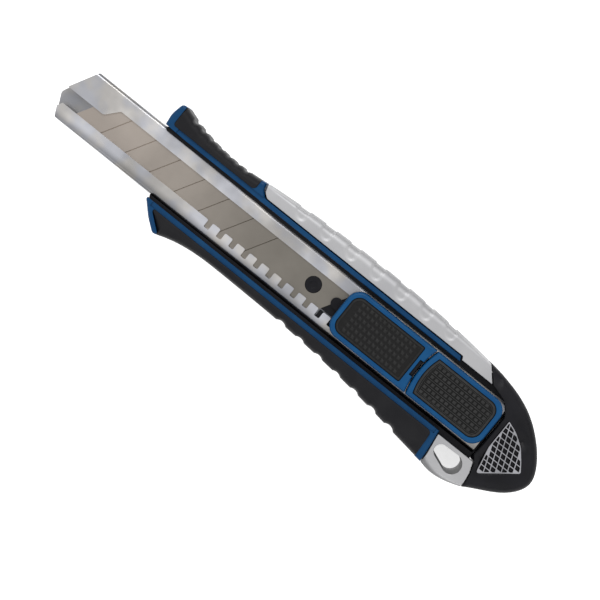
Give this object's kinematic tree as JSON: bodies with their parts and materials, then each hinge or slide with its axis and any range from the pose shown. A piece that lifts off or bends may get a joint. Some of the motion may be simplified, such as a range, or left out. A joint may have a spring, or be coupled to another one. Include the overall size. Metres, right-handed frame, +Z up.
{
  "type": "snap-off utility knife",
  "caption": "Snap-off utility knife with a sliding blade in a steel guide, a thumb slide, soft grips, a lanyard eye and an end cap.",
  "frame": {"origin": "centre of the bounding box's underside; the knife lies on its flat back", "axes": "+X from the blade tip to the end cap, +Y from the cutting edge to the spine, +Z up to the thumb slide"},
  "size_m": [0.196, 0.0424, 0.0203],
  "materials": {
    "steel_guide": "rolled stainless sheet",
    "steel_blade": "ground carbon steel",
    "spring_steel": "plain",
    "silver_metal": "satin",
    "blue_plastic": "satin moulded",
    "black_plastic": "fine moulded texture",
    "black_rubber": "soft matte",
    "grey_plastic": "satin"
  },
  "bodies": {
    "handle": {"blade_guide": "steel_guide", "spare_blades": "steel_blade", "guide_rivets": "spring_steel", "front_shell": "black_plastic", "back_shell": "black_plastic", "shell_screws": "spring_steel", "magazine_tray": "steel_guide", "magazine_spring": "spring_steel", "upper_grip_base": "blue_plastic", "upper_grip_pad": "black_rubber", "lower_grip_base": "blue_plastic", "lower_grip_pad": "black_rubber", "spine_cover": "silver_metal", "lanyard_bracket": "silver_metal"},
    "slide": {"blade": "steel_blade", "blade_carrier": "black_plastic", "blade_peg": "black_plastic", "pawl_spring": "spring_steel", "slide_frame": "blue_plastic", "slide_pad": "black_rubber", "slide_latch": "black_plastic"},
    "pawl": {"lock_pawl": "black_plastic"},
    "button": {"button_frame": "blue_plastic", "button_pad": "black_rubber", "button_base": "black_plastic", "button_spring": "spring_steel"},
    "cap": {"end_cap": "black_plastic", "cap_catch": "spring_steel", "badge_base": "black_rubber", "badge_mesh": "grey_plastic"}
  },
  "joints": [
    {"name": "blade_slide", "type": "slide", "parent": "handle", "child": "slide", "axis": [-1, 0, 0], "range_m": [0, 0.04536]},
    {"name": "pawl_lift", "type": "slide", "parent": "slide", "child": "pawl", "axis": [0, 0, 1], "range_m": [0, 0.0008], "deforming": ["pawl_spring"]},
    {"name": "button_press", "type": "slide", "parent": "handle", "child": "button", "axis": [0, 0, -1], "range_m": [0, 0.0012], "stiffness_N_per_m": 300, "springref_m": -0.001, "deforming": ["button_spring"]},
    {"name": "cap_pull", "type": "slide", "parent": "handle", "child": "cap", "axis": [1, 0, 0], "range_m": [0, 0.035]}
  ]
}
